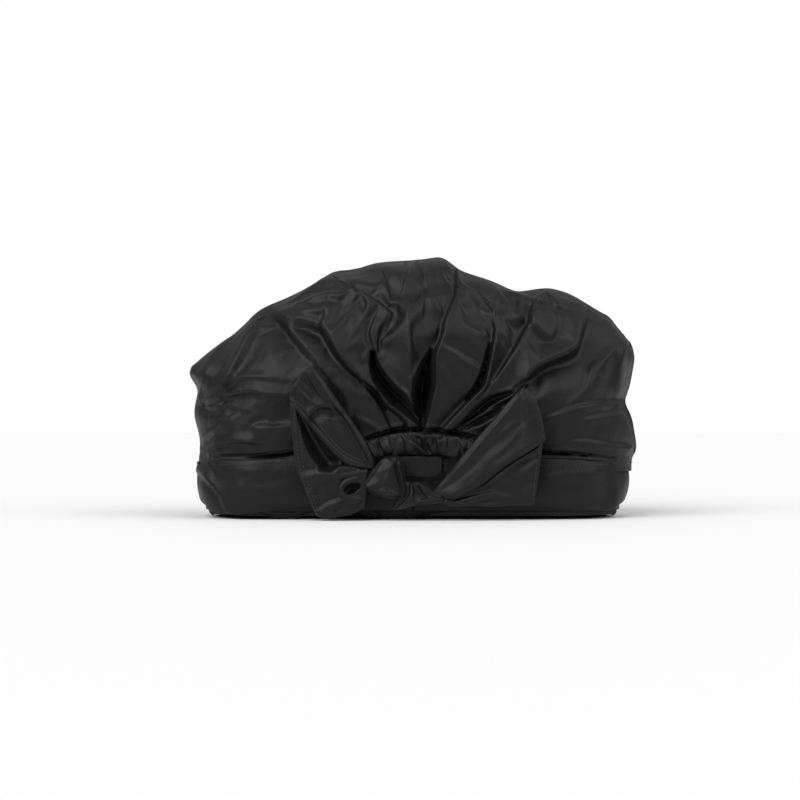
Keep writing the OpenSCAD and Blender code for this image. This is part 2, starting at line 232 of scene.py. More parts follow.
# Folds of the crown's front, each from the gathered seam or a held edge outwards:
# its line in x and z, how high the cloth stands on its left and right, how wide each
# side is, how sharp the crease is, and how much the fold keeps at each end
FOLDS = [
    # the ridges and banks that run into the gathered seam
    ([(-4, 63), (-10, 72), (-24, 83), (-36, 95), (-52, 111), (-63, 129), (-62, 141)],
     -4, 10, 3.5, 7, 0.7, 0.9, 0.3),
    ([(-15, 61), (-21, 74), (-29, 89), (-36, 96)], 2, 9, -2.5, 5, 0.6, 0.7, 0.2),
    ([(-20, 61), (-30, 68), (-42, 74)], 1.5, 5, -1, 4, 0.6, 0.8, 0.2),
    ([(6, 62), (1, 80), (-1, 103), (-1, 117), (-2, 132), (-4, 151), (-5, 168)],
     5.5, 9, 3, 5, 0.6, 0.8, 0.5),
    ([(7, 63), (10, 76), (14, 94), (15, 111), (19, 125), (21, 137), (27, 152), (29, 162)],
     -4.5, 8, 6, 22, 0.5, 1.0, 0.3),
    ([(6, 161), (7, 140), (10, 128)], -1.8, 3, 1.2, 5, 0.7, 0.6, 0.2),
    ([(20, 64), (36, 81), (47, 94), (50, 103), (53, 117), (55, 127), (55, 140), (52, 147)],
     -3, 6, 5, 6, 0.5, 0.9, 0.5),
    ([(16, 121), (32, 114), (49, 103)], -0.9, 3, 0.5, 8, 0.6, 0.3, 0.8),
    ([(53, 146), (47, 153), (36, 162), (30, 173)], 1.8, 7, -2.5, 6, 0.6, 0.9, 0.6),
    ([(29, 64), (47, 76), (68, 85), (75, 92)], 3, 6, -3, 6, 0.6, 0.8, 0.7),
    ([(53, 94), (61, 106), (74, 127), (80, 138), (84, 150), (90, 158)], -3.5, 8, 3, 9, 0.6, 0.5, 0.9),
    ([(79, 92), (78, 107), (78, 125)], 2.6, 5, 2.6, 4, 0.9, 1.0, 0.2),
    ([(80, 99), (92, 107), (112, 116), (117, 128), (123, 144)], 3.5, 12, -8.0, 12, 1.4, 1.0, 0.4),
    # the left shoulder
    ([(-100, 146), (-90, 134), (-79, 120), (-67, 106)], 1.5, 12, -5.5, 11, 1.2, 0.6, 0.5),
    ([(-84, 137), (-73, 134), (-63, 130), (-57, 122)], 3, 10, -4.5, 9, 1.3, 0.3, 0.7),
    ([(-108, 137), (-118, 116), (-127, 99), (-130, 93)], 0.4, 5, 2.8, 7, 0.7, 0.6, 0.8),
    ([(-138, 116), (-143, 103), (-147, 92)], 0.5, 4, 2.6, 5, 0.7, 0.6, 0.8),
    # cloth pulled tight between the hands
    ([(-147, 84), (-129, 94), (-111, 97), (-90, 95)], 1.8, 4, -1.5, 6, 0.6, 0.9, 0.2),
    ([(-146, 81), (-130, 85), (-114, 87), (-99, 85), (-84, 84)], 2.2, 4, -2.0, 12, 0.5, 1.0, 0.6),
    ([(-128, 90), (-114, 93), (-98, 90)], 1.5, 4, 1.5, 4, 1.2, 0.2, 0.2),
    ([(-144, 77), (-130, 78), (-118, 75)], 1.2, 2.5, -1.8, 4, 0.6, 1.0, 0.2),
    ([(-146, 59), (-137, 65), (-129, 70)], -2.5, 4, 2.2, 4, 0.7, 0.4, 0.4),
    ([(-147, 50), (-141, 55), (-136, 60)], -2, 3, 1.5, 3, 0.7, 0.4, 0.4),
    ([(-140, 44), (-130, 52), (-113, 53), (-96, 50)], 2.5, 4, -1.5, 3, 0.6, 0.9, 0.1),
    ([(-138, 43), (-128, 48), (-116, 49)], 2, 3, 1, 3, 0.8, 0.9, 0.1),
    ([(-113, 66), (-98, 65), (-84, 66)], -2, 8, 2, 5, 1.2, 0.1, 0.7),
    ([(150, 81), (128, 80), (113, 78), (92, 71)], 2.0, 4, -1.5, 6, 0.8, 1.0, 0.4),
    ([(148, 74), (130, 72), (110, 68)], 1.2, 3, -1, 5, 0.8, 1.0, 0.2),
    ([(150, 50), (130, 53), (112, 55), (92, 50)], 1.8, 4, -1.2, 4, 0.8, 1.0, 0.2),
    ([(145, 124), (135, 116), (122, 104), (116, 90), (100, 76)], 2.4, 9, -2.2, 10, 1.2, 0.2, 0.1),
    ([(144, 126), (142, 109), (141, 95), (141, 81)], 2.0, 5, -1.5, 5, 1.2, 0.1, 0.3),
    ([(138, 118), (128, 108), (124, 96)], 1.4, 3, 1.4, 4, 0.8, 0.2, 0.1),
    # the slack cloth under the crest
    ([(-76, 149), (-60, 152), (-42, 150)], 1.8, 4, -1.2, 5, 1.1, 0.3, 0.3),
    ([(-80, 143), (-68, 141), (-54, 143)], 1.4, 4, -1.0, 4, 1.1, 0.3, 0.3),
    ([(-78, 159), (-58, 163), (-38, 159)], 1.4, 5, -1.0, 5, 1.2, 0.2, 0.3),
    ([(-38, 156), (-30, 152), (-23, 148), (-17, 141), (-19, 133)], -2, 4, 2.4, 5, 0.6, 0.8, 0.3),
    ([(-38, 156), (-34, 147), (-36, 140)], 1.8, 3, -1.4, 3, 0.6, 0.9, 0.2),
    ([(-38, 156), (-44, 160), (-52, 166)], 2, 4, -1.6, 3, 0.6, 0.8, 0.3),
    ([(-28, 117), (-31, 128), (-27, 141)], -2.6, 2.5, 2, 3, 0.5, 0.7, 0.4),
    ([(-25, 117), (-24, 130), (-19, 140)], 2, 2.5, -1.6, 3, 0.5, 0.8, 0.3),
    ([(-20, 166), (-17, 156), (-18, 150)], -2.5, 6, 2, 4, 0.8, 0.6, 0.3),
    ([(-2, 178), (-4, 170), (-8, 160)], 2, 4, -1.5, 4, 0.6, 0.9, 0.3),
    ([(4, 178), (6, 170), (7, 162)], 1.6, 3, -1.6, 3, 0.6, 0.9, 0.3),
    ([(21, 182), (22, 172), (28, 162)], 2.5, 6, -1.5, 4, 0.5, 1.0, 0.4),
    ([(57, 163), (66, 150), (72, 143), (73, 148)], -1.8, 4, 2.2, 4, 0.5, 0.8, 0.6),
    ([(58, 150), (56, 137), (58, 126)], -1.8, 4, 1.8, 5, 0.8, 0.5, 0.3),
    ([(69, 156), (78, 153), (87, 151)], 2, 3, -2, 4, 0.5, 0.5, 0.8),
    ([(80, 146), (82, 136), (88, 128), (95, 126), (99, 133), (100, 145)], 1.6, 5, -2.2, 7, 1.3, 0.4, 0.3),
    ([(96, 152), (101, 145), (108, 146)], 1.8, 3, -1.6, 3, 0.6, 0.5, 0.4),
]
# Hollows between the gathers, where the cloth dives out of sight: the points of each
# one's middle line with its half width there, and its depth
HOLLOWS = [
    ([(6, 64, 0.3), (-1, 73, 3.6), (-10, 82, 5.8), (-19, 91, 5.4), (-26, 103, 3.8), (-28.5, 115, 1.6)], 25),
    ([(6.5, 64, 0.5), (6, 74, 5), (5.5, 84, 6.9), (7, 95, 6.6), (10, 106, 3.6), (13, 117, 0.8)], 27),
    ([(-18, 76, 0.8), (-26, 86, 2.8), (-35, 95, 0.6)], 11),
    ([(36, 82, 0.5), (45, 93, 2.6), (49, 105, 1.6), (53, 122, 0.6)], 11),
    ([(31, 64, 0.5), (43, 75, 2.8), (54, 83, 3.6), (67, 88, 1)], 10),
    ([(33, 62, 0.4), (48, 69, 2.2), (60, 76, 0.8)], 5),
    # the crown turns in sharply over the front seam and over the cuff
    ([(-36, 54.5, 0.8), (-16, 60.3, 2.0), (6, 61.8, 2.0), (27, 60, 2.0), (47, 55, 0.8)], 7),
    ([(-140, 44, 0.3), (-120, 43.5, 1.0), (-98, 44, 1.9), (-80, 46, 1.9), (-55, 47, 1.6)], 7),
    ([(60, 47, 1.6), (90, 46.5, 1.9), (112, 45, 1.6), (130, 43, 1.0), (140, 42, 0.3)], 7),
]


def smooth_line(points, steps=8):
    """The points of a smooth curve through the given ones."""
    p = np.array(points, float)
    p = np.vstack([2 * p[0] - p[1], p, 2 * p[-1] - p[-2]])
    out = []
    for i in range(1, len(p) - 2):
        for t in np.linspace(0, 1, steps, endpoint=False):
            out.append(0.5 * (2 * p[i] + (p[i + 1] - p[i - 1]) * t
                              + (2 * p[i - 1] - 5 * p[i] + 4 * p[i + 1] - p[i + 2]) * t ** 2
                              + (3 * p[i] - p[i - 1] - 3 * p[i + 1] + p[i + 2]) * t ** 3))
    out.append(p[-2])
    return np.array(out)


def distances(line):
    """How far along a line each of its points is."""
    return np.concatenate([[0], np.cumsum(np.linalg.norm(np.diff(line, axis=0), axis=1))])


def off_line(line, x, z):
    """How far points lie from a line, positive to its right, and how far along it."""
    best = np.full(x.shape, 1e9)
    signed = np.zeros(x.shape)
    along = np.zeros(x.shape)
    legs = np.diff(line, axis=0)
    starts = distances(line)
    for start, leg, length, run in zip(line, legs, np.diff(starts), starts):
        t = np.clip(((x - start[0]) * leg[0] + (z - start[1]) * leg[1]) / length ** 2, 0, 1)
        dx, dz = x - start[0] - t * leg[0], z - start[1] - t * leg[1]
        distance = np.hypot(dx, dz)
        nearer = distance < best
        best = np.where(nearer, distance, best)
        right = leg[1] * dx - leg[0] * dz > 0
        signed = np.where(nearer, np.where(right, distance, -distance), signed)
        along = np.where(nearer, (run + t * length) / starts[-1], along)
    return signed, along


def fold_heights(folds, x, z):
    """How far out of its surface the folds lift the cloth at each point, in mm."""
    total = np.zeros(x.shape)
    for points, left, left_wide, right, right_wide, crease, start_keep, end_keep in folds:
        near = np.array(points, float)
        reach = 4 * max(left_wide, right_wide)
        box = ((x > near[:, 0].min() - reach) & (x < near[:, 0].max() + reach)
               & (z > near[:, 1].min() - reach) & (z < near[:, 1].max() + reach))
        offset, along = off_line(smooth_line(points), x[box], z[box])
        wide = np.where(offset < 0, left_wide, right_wide) * (0.55 + 0.45 * along)
        side = 0.5 + 0.5 * np.tanh(offset / crease)
        rounded = np.sqrt(offset ** 2 + crease ** 2) - crease
        fall = np.clip(1 - rounded / (2.3 * wide), 0, 1) ** 1.5
        height = (left * (1 - side) + right * side) * fall
        keep = (start_keep + (1 - start_keep) * smooth_step(0, 0.25, along))
        keep = keep * (end_keep + (1 - end_keep) * (1 - smooth_step(0.6, 1, along)))
        total[box] += height * keep
    return total


def hollow_depths(hollows, x, z):
    """How far the hollows sink at each point, in mm, with a rolled lip round each."""
    total = np.zeros(x.shape)
    for points, depth in hollows:
        points = np.array(points, float)
        line = smooth_line(points[:, :2])
        offset, along = off_line(line, x, z)
        half = np.interp(along, np.linspace(0, 1, len(points)), points[:, 2])
        share = (half / points[:, 2].max()) ** 0.6
        total += depth * share * np.clip(1 - (np.abs(offset) / (half + 0.3)) ** 1.4, 0, 1)
        total -= 1.0 * np.exp(-((np.abs(offset) - half - 1.4) / 1.4) ** 2) * share
    return total


def keeps_outline(facing):
    """1 where the cloth faces up or sideways, so that it makes the crown's outline."""
    up = smooth_step(0.45, 0.9, facing[:, 2])
    return np.maximum(up, smooth_step(0.6, 0.95, np.abs(facing[:, 0])))


def soft_noise(*parts):
    """Smooth noise at each point. Its three parts are arrays or single numbers."""
    return np.array([noise.noise(Vector(point)) for point in np.broadcast(*parts)])


def creased_noise(*parts):
    """Noise with sharp ridges, at most 1."""
    return 1 - 2 * np.abs(soft_noise(*parts))


def gathers(x, y, z, facing):
    """The eased pleats along the hem at the back and ends of the crown, and the long
    folds that hang above them, in mm."""
    angle = np.arctan2(y - BELLY_SHIFT_Y, x / WIDER)
    rucks = soft_noise(9 * angle, 1.5, z / 60)
    fine = soft_noise(21 * angle, 7.5, z / 40)
    hanging = creased_noise(5 * angle + z / 70, 4.5, z / 75)
    low = np.exp(-np.clip(z - CROWN_BASE, 0, 200) / 32)
    long_folds = 3.0 * (hanging - 0.5) * (1 - 0.6 * keeps_outline(facing))
    # Round the top the cloth is only crumpled
    crumpled = creased_noise(x / 30, y / 17, z / 30)
    off_top = smooth_step(10, 45, np.hypot(y - BELLY_SHIFT_Y, x / WIDER))
    pleats = smooth_step(-25, 10, y) * ((3.2 * rucks + 2.0 * fine) * low + 1.2 * rucks + long_folds)
    return pleats * off_top + 1.8 * (crumpled - 0.5) * (1 - off_top)


def crown_lift(places, facing, crispness):
    """How far every fold moves each point of the crown outwards, in mm. Crispness from
    0 to 1 keeps more of the sharp creases."""
    x, y, z = places.T
    front_share = smooth_step(0.1, 0.5, -facing[:, 1])
    folds = [(*fold[:5], max(fold[5] + 0.5, 2.4 * (1 - crispness)), *fold[6:]) for fold in FOLDS]
    lift = fold_heights(folds, x, z) * front_share + gathers(x, y, z, facing) * (1 - front_share)
    off_pole = smooth_step(4, 26, np.hypot(x, y - BELLY_SHIFT_Y))
    return lift * smooth_step(CROWN_BASE - 1, CROWN_BASE + 7, z) * off_pole


def wrinkled(piece, slack, hold=0.1, most=6.0, frames=20, stretch=0.08, bend=6.0):
    """How far each vertex moves when the cloth is a little larger than its place and
    buckles, in mm. slack is the extra cloth of each vertex, from 0 to 1, and hold keeps
    the free cloth near its place. Vertices with no slack stay where they are."""
    before = vertex_places(piece)
    held = piece.vertex_groups.new(name="held")
    taut = piece.vertex_groups.new(name="taut")
    for index, share in enumerate(slack):
        held.add([index], 1.0 if share <= 0 else hold, "REPLACE")
        taut.add([index], float(1 - share), "REPLACE")
    cloth = piece.modifiers.new("cloth", "CLOTH")
    settings = cloth.settings
    settings.quality = 5
    settings.mass = 0.05
    settings.tension_stiffness = settings.compression_stiffness = 40
    settings.shear_stiffness = 5
    settings.bending_stiffness = bend
    settings.vertex_group_mass = "held"
    settings.vertex_group_shrink = "taut"
    settings.shrink_min = -stretch
    settings.shrink_max = 0
    settings.effector_weights.gravity = 0
    cloth.collision_settings.use_collision = False
    for step in range(1, frames + 1):
        bpy.context.scene.frame_set(step)
    apply_modifiers(piece)
    bpy.context.scene.frame_set(1)
    moved = vertex_places(piece) - before
    size = np.linalg.norm(moved, axis=1)
    piece.vertex_groups.clear()
    return moved * (most * np.tanh(size / most) / np.maximum(size, 1e-6))[:, None]


def subdivided(piece):
    finer = piece.modifiers.new("finer", "SUBSURF")
    finer.levels = finer.render_levels = 1
    apply_modifiers(piece)


crown = grid_piece("crown_shell", FRONT_COLUMNS + BACK_COLUMNS, CROWN_ROWS, crown_place,
                   scale=(860, 260))
plain_crown = vertex_places(crown)
crown_facing = outward(crown)
x, y, z = plain_crown.T
set_places(crown, plain_crown + crown_facing * crown_lift(plain_crown, crown_facing, 0)[:, None])
# There is more slack towards the crest and at the left end than by the gathered seam
seam_nearness = np.hypot((x - 5) / 60, (z - 60) / 45)
slack = 0.25 + 0.75 * smooth_step(100, 150, z)
slack = np.maximum(slack, 0.8 * smooth_step(0, 30, y))
slack = slack * np.where(y < 0, smooth_step(0.5, 1.3, seam_nearness), 1)
slack = slack * smooth_step(CROWN_BASE + 1, CROWN_BASE + 14, z)
slack = slack * (0.3 + 0.7 * smooth_step(-150, -115, x))
crown_wrinkles = wrinkled(crown, slack)
from_pole = np.hypot(x, y - BELLY_SHIFT_Y)
crown_wrinkles *= (1 - 0.7 * keeps_outline(crown_facing))[:, None]
nearest = kdtree.KDTree(len(plain_crown))
for index, place in enumerate(plain_crown):
    nearest.insert(place, index)
nearest.balance()
# The cloth lies smoother round the top, where the mesh is too fine to buckle as cloth does
sharp_wrinkles = crown_wrinkles.copy()
for index in np.flatnonzero((z > BELLY) & (from_pole > 6) & (from_pole < 62)):
    around = [found[1] for found in nearest.find_range(plain_crown[index], 5)]
    evened = sharp_wrinkles[around].mean(axis=0)
    share = smooth_step(36, 62, from_pole[index])
    crown_wrinkles[index] = evened + (sharp_wrinkles[index] - evened) * share
crown_wrinkles *= smooth_step(6, 40, from_pole)[:, None]
# The wrinkles and the plain shape are made finer on their own, and the sharp folds are
# then laid on the two together
set_places(crown, crown_wrinkles)
wrinkle_mesh = crown.copy()
wrinkle_mesh.data = crown.data.copy()
bpy.context.scene.collection.objects.link(wrinkle_mesh)
set_places(crown, plain_crown)
subdivided(wrinkle_mesh)
subdivided(crown)
places = vertex_places(crown)
facing = outward(crown)
# The creases are sharp where the cloth faces the front, and softer towards the crest
crisp_share = smooth_step(0.35, 0.8, -facing[:, 1])
lift = crown_lift(places, facing, 0)
lift += (crown_lift(places, facing, 1) - lift) * crisp_share
lift -= hollow_depths(HOLLOWS, places[:, 0], places[:, 2]) * smooth_step(0.2, 0.6, -facing[:, 1])
set_places(crown, places + facing * lift[:, None] + vertex_places(wrinkle_mesh))
bpy.data.objects.remove(wrinkle_mesh)


def blank_material(name):
    material = bpy.data.materials.new(name)
    material.use_nodes = True
    return material, material.node_tree


def set_node(node, **settings):
    """Each setting is one of the node's inputs, given a value or another node's output,
    or else a property of the node itself."""
    for key, value in settings.items():
        socket = node.inputs.get(key.replace("_", " "))
        if socket is None:
            setattr(node, key, value)
        elif isinstance(value, bpy.types.NodeSocket):
            node.id_data.links.new(value, socket)
        else:
            socket.default_value = value
    return node


def add_node(tree, kind, **settings):
    return set_node(tree.nodes.new("ShaderNode" + kind), **settings)


def two_tones(tree, factor, dark, light):
    """A colour that goes from dark to light with the factor."""
    ramp = add_node(tree, "ValToRGB", Fac=factor)
    for element, colour in zip(ramp.color_ramp.elements, (dark, light)):
        element.color = (*colour, 1)
    return ramp.outputs["Color"]


def nylon(name, colour=(0.0042, 0.0042, 0.0048), roughness=0.42, crinkle=0.42):
    """Black satin nylon: a fine plain weave in the cloth's own millimetres, faint
    crinkles, and a sheen that varies a little over the cloth."""
    material, tree = blank_material(name)
    coordinates = add_node(tree, "TexCoord")
    threads = add_node(tree, "Math", operation="MULTIPLY")
    for direction, factor in zip("XY", threads.inputs):
        wave = add_node(tree, "TexWave", Vector=coordinates.outputs["UV"],
                        bands_direction=direction, Scale=0.9, Distortion=0.6, Detail=1.0)
        tree.links.new(wave.outputs["Fac"], factor)
    crease = add_node(tree, "TexNoise", Vector=coordinates.outputs["Object"],
                      Scale=95.0, Detail=5.0, Roughness=0.55).outputs["Fac"]
    slack = add_node(tree, "TexNoise", Vector=coordinates.outputs["Object"],
                     Scale=26.0, Detail=3.0, Roughness=0.5).outputs["Fac"]
    polish = add_node(tree, "MapRange", Value=crease, To_Min=roughness - 0.07,
                      To_Max=roughness + 0.09)
    tones = [[c * share for c in colour] for share in (0.75, 1.35)]
    shader = set_node(tree.nodes["Principled BSDF"], Specular_IOR_Level=0.22,
                      Sheen_Weight=0.02, Sheen_Roughness=0.35, Anisotropic=0.3,
                      Base_Color=two_tones(tree, slack, *tones),
                      Roughness=polish.outputs["Result"])
    last = shader.inputs["Normal"]
    for height, strength, distance in ((slack, crinkle, 0.003), (crease, crinkle, 0.0012),
                                       (threads.outputs[0], 0.25, 0.00006)):
        bump = add_node(tree, "Bump", Height=height, Strength=strength, Distance=distance)
        tree.links.new(bump.outputs["Normal"], last)
        last = bump.inputs["Normal"]
    return material


# The finish of each of the frame's material slots
FINISHES = {"outer_nylon": nylon("black_satin_nylon")}


def finished(piece, body, slot, *nodes):
    """piece gets its slot's finish, rides on a body and stands for the nodes."""
    piece.data.materials.append(FINISHES[slot])
    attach(piece, body)
    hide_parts(*nodes)


def relaxes(piece, slot, *nodes):
    """piece is finished, and narrows with the rim as the elastic relaxes."""
    finished(piece, "cap", slot, *nodes)
    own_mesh(piece)


relaxes(crown, "outer_nylon", "crown")


# ---- Lining ----
# A waterproof coated lining of the crown's shape hangs inside it, sewn in at the rim
# only, so it takes up the crown's big folds softly.
LINING_GAP = 3.4
LINING_HEM = 12.5


def lining_place(u, v):
    """The crown's plain shape, with a straight skirt from its hem down to the rim."""
    skirt = 0.14
    place = crown_place(u, np.clip((v - skirt) / (1 - skirt), 0, 1))
    skirt_z = LINING_HEM + (CROWN_BASE - LINING_HEM) * v / skirt
    place[:, 2] = np.where(v < skirt, skirt_z, place[:, 2])
    return place


lining = grid_piece("lining_shell", 130, 46, lining_place, scale=(860, 280))
places = vertex_places(lining)
facing = outward(lining)
follow = np.array([crown_wrinkles[nearest.find(place)[1]] for place in places])
above = smooth_step(CROWN_BASE, CROWN_BASE + 10, places[:, 2])
hollows = hollow_depths(HOLLOWS, places[:, 0], places[:, 2]) * (facing[:, 1] < -0.2)
gap = LINING_GAP + 1.6 * above + 1.2 * (1 + soft_noise(*places.T / 14))
lift = np.minimum(crown_lift(places, facing, 0) - hollows, 1) * above - gap
set_places(lining, places + facing * lift[:, None] + follow * above[:, None])
FINISHES["lining"] = nylon("coated_lining", colour=(0.014, 0.014, 0.015), roughness=0.45,
                           crinkle=0.5)
relaxes(lining, "lining", "crown_lining")


# ---- Cuff ----
# The cuff is a band of the same nylon, folded double and turned up round the rim. It is
# highest at the front, its ends sag from being held, and its edges are soft folds.
CUFF_RADIUS = 50
CUFF_FROM = 38
CUFF_TO = -34
CUFF_TOP = 44.5
CUFF_LOW = 5.5
CUFF_HEM_Z = 37.5


def along_band(u, x_start, x_end):
    """Walks the rim from x_start at the front round the right end and the back to x_end
    at the front: the place on the straight run and the cosine and sine of its angle."""
    bend = math.pi * CUFF_RADIUS
    legs = [RIM_STRAIGHT - x_start, bend, 2 * RIM_STRAIGHT, bend, RIM_STRAIGHT + x_end]
    ends = np.cumsum([0] + legs)
    walked = u * ends[-1]
    share = [np.clip((walked - ends[i]) / legs[i], 0, 1) for i in range(5)]
    x = (x_start + share[0] * legs[0] - share[2] * legs[2] + share[4] * legs[4]) / RIM_STRAIGHT
    angle = (-0.5 + share[1] + share[3]) * math.pi
    return x, np.cos(angle), np.sin(angle), walked


def on_rim(run, cos, sin, radius, z):
    """Points a radius out from the rim's straight middle run, at a height."""
    return np.stack([run * RIM_STRAIGHT + radius * cos, radius * sin, z], 1)


def band_turn(v):
    """Where v is on a band's closed loop: how far up the band, from 0 to 1, and 1 on its
    outer face to -1 on its inner face."""
    turn = 2 * math.pi * v
    return 0.5 - 0.5 * np.cos(turn), np.sin(turn)


def ripple(walked, height, pitch, seed):
    """Irregular gathers across a band, at a place along and across it."""
    return 1.8 * soft_noise(walked / pitch, seed, height / (4 * pitch))


def band_piece(name, columns, profile_points, place):
    """A closed band: place(u, v) puts its loops of profile points, and its two ends are
    filled."""
    piece = grid_piece(name, columns, profile_points, place, scale=(760, 84))
    only(piece)
    bpy.ops.object.mode_set(mode="EDIT")
    bpy.ops.mesh.select_all(action="DESELECT")
    bpy.ops.mesh.select_mode(type="EDGE")
    bpy.ops.mesh.select_non_manifold()
    bpy.ops.mesh.edge_face_add()
    bpy.ops.mesh.select_all(action="SELECT")
    bpy.ops.mesh.normals_make_consistent(inside=False)
    bpy.ops.object.mode_set(mode="OBJECT")
    for polygon in piece.data.polygons:
        polygon.use_smooth = True
    return piece


# Folds of the cuff, given in the same way as the crown's
CUFF_FOLDS = [
    ([(-149, 31), (-140, 25), (-133, 16), (-130, 7)], 2.0, 6, -3.0, 6, 0.8, 0.6, 0.8),
    ([(-147, 40), (-140, 33), (-134, 22)], -1.0, 4, 2.4, 6, 0.9, 0.7, 0.3),
    ([(-127, 7), (-121, 18), (-116, 30)], 1.0, 4, 1.2, 6, 1.0, 0.6, 0.2),
    ([(132, 36), (137, 24), (139, 8)], 1.2, 9, -2.4, 14, 1.2, 0.1, 0.6),
    ([(-124, 34), (-104, 30), (-80, 32)], 0.9, 6, -0.6, 8, 1.4, 0.2, 0.2),
    ([(-112, 14), (-98, 18), (-82, 17)], 0.9, 6, -0.5, 6, 1.4, 0.2, 0.2),
    ([(90, 25), (112, 29), (132, 26)], 0.9, 6, -0.6, 8, 1.4, 0.2, 0.2),
]
# The bottom edge of the front of the cuff: x and height
CUFF_EDGE = [
    (-150, 11), (-139, 5), (-121, 3.4), (-103, 6), (-82, 9), (-60, 8), (-30, 7), (20, 7),
    (60, 8.5), (84, 9), (112, 7), (136, 5.5), (150, 12),
]


def cuff_place(u, v):
    run, cos, sin, walked = along_band(u, CUFF_FROM, CUFF_TO)
    x = run * RIM_STRAIGHT + CUFF_RADIUS * cos
    across, out = band_turn(v)
    end_x = RIM_STRAIGHT + CUFF_RADIUS
    at_front = smooth_step(0.3, -0.3, sin)
    top = CUFF_TOP - 5 * (x / end_x) ** 2 - 1.5 * smooth_step(RIM_STRAIGHT, end_x, x)
    edge_x, edge_z = np.array(CUFF_EDGE, float).T
    low = CUFF_LOW + (np.interp(x, edge_x, edge_z) - CUFF_LOW) * smooth_step(1.05, 0.2, sin)
    wave = soft_noise(walked / 60, 9.4, across * 0.6)
    puff = soft_noise(walked / 24, 3.1, across * 1.6)
    z = low + (top - low) * across + 1.2 * wave
    outer = smooth_step(0, 0.4, out)
    radius = CUFF_RADIUS + 0.7 * np.sign(out) * np.sqrt(np.abs(out)) + 1.0 * wave
    radius = radius + outer * (1.7 * np.sin(math.pi * across) ** 0.7 + 1.3 * puff)
    radius = radius + outer * fold_heights(CUFF_FOLDS, x, z) * at_front * np.abs(out)
    radius = radius + 1.6 * puff * (1 - at_front)
    return on_rim(run, cos, sin, radius, z)


cuff = band_piece("cuff_band", 420, 44, cuff_place)
relaxes(cuff, "outer_nylon", "cuff_left_end", "cuff_right_end", "cuff_front_left",
        "cuff_front_right", "cuff_back")


# ---- Inner leaf of the cuff ----
# Behind the turned-up cuff the cloth runs on down to the rim as a plain band, which the
# cuff is stitched to and the rim tunnel hangs from.
LEAF_RADIUS = 46.3
LEAF_LOW = 5.5
LEAF_H = 36


def inner_leaf_place(u, v):
    run, cos, sin, walked = along_band(u, 0, 0)
    across, out = band_turn(v)
    radius = LEAF_RADIUS + 0.5 * out + 0.5 * ripple(walked, across * LEAF_H, 16, 5.5)
    return on_rim(run, cos, sin, radius, LEAF_LOW + LEAF_H * across)


inner_leaf = band_piece("cuff_inner_leaf", 280, 20, inner_leaf_place)
relaxes(inner_leaf, "outer_nylon", "inner_band")


# ---- Rim tunnel and its elastic ----
# The rim's edge is turned in to make a tunnel, gathered on a flat elastic, so that it
# is ruched all the way round. A row of stitches closes it at the top.
TUNNEL_RADIUS = 42.2
TUNNEL_MIDDLE = 6.3
TUNNEL_HALF_H = 5.6
TUNNEL_HEM_Z = 11
ELASTIC_LOW = 2.2
ELASTIC_H = 7.6


def tunnel_place(u, v):
    run, cos, sin, walked = along_band(u, 0, 0)
    turn = 2 * math.pi * v
    rucks = ripple(walked, 20 * np.cos(turn), 3.4, 1.7)
    rucks = rucks + 0.5 * ripple(walked, 9 * np.sin(turn), 1.7, 8.2)
    # The gathers fade out where the tunnel's two ends meet
    rucks = rucks * (1 - np.exp(-(np.minimum(u, 1 - u) / 0.004) ** 2))
    radius = TUNNEL_RADIUS + np.sin(turn) * (2.7 + 0.9 * rucks)
    z = TUNNEL_MIDDLE - TUNNEL_HALF_H * np.cos(turn)
    z = z + 0.6 * rucks * (1 - np.cos(turn) ** 2 * 0.4)
    # Most of its front is drawn up behind the cuff
    x = run * RIM_STRAIGHT + radius * cos
    shown = np.exp(-((x + 89) / 15) ** 4) + np.exp(-((x + 15) / 28) ** 4)
    z = z + 4.6 * smooth_step(0, -0.5, sin) * (1 - shown) * (0.5 + 0.5 * np.cos(turn))
    return on_rim(run, cos, sin, radius, np.maximum(z, 0.1))


rim_tunnel = band_piece("rim_tunnel", 620, 22, tunnel_place)
relaxes(rim_tunnel, "outer_nylon", "rim_casing")


def rim_elastic_place(u, v):
    run, cos, sin, _ = along_band(u, 0, 0)
    across, out = band_turn(v)
    return on_rim(run, cos, sin, TUNNEL_RADIUS + 0.55 * out,
                  ELASTIC_LOW + ELASTIC_H * across)


def knitted_elastic():
    """Fine ribs across the band."""
    material, tree = blank_material("knitted_elastic")
    ribs = add_node(tree, "TexWave", Vector=add_node(tree, "TexCoord").outputs["UV"],
                    bands_direction="X", Scale=0.35).outputs["Fac"]
    bump = add_node(tree, "Bump", Height=ribs, Strength=0.6, Distance=0.0003)
    tone = two_tones(tree, ribs, (0.006, 0.006, 0.006), (0.03, 0.03, 0.032))
    set_node(tree.nodes["Principled BSDF"], Roughness=0.8, Base_Color=tone,
             Normal=bump.outputs["Normal"])
    return material


FINISHES["elastic"] = knitted_elastic()
rim_elastic = band_piece("rim_elastic_band", 200, 12, rim_elastic_place)
relaxes(rim_elastic, "elastic", "rim_elastic")


# ---- Front tunnel ----
# The crown's gathers end in an arched seam over a second ruched tunnel, which has its
# own short elastic.
ARCH_X = 5
ARCH_HALF_W = 41
ARCH_TOP = 61
ARCH_DROP = 9
ARCH_RADIUS = (ARCH_HALF_W ** 2 + ARCH_DROP ** 2) / (2 * ARCH_DROP)
ARCH_LENGTH = 88
ARCH_BAND = 16
ARCH_Y = -54


def arch_point(share, radius):
    """A point of an arc that lies under the arched seam, share from -1 to 1 along it."""
    spread = math.asin(ARCH_HALF_W / ARCH_RADIUS)
    return (ARCH_X + radius * np.sin(share * spread),
            ARCH_TOP - ARCH_RADIUS + radius * np.cos(share * spread))


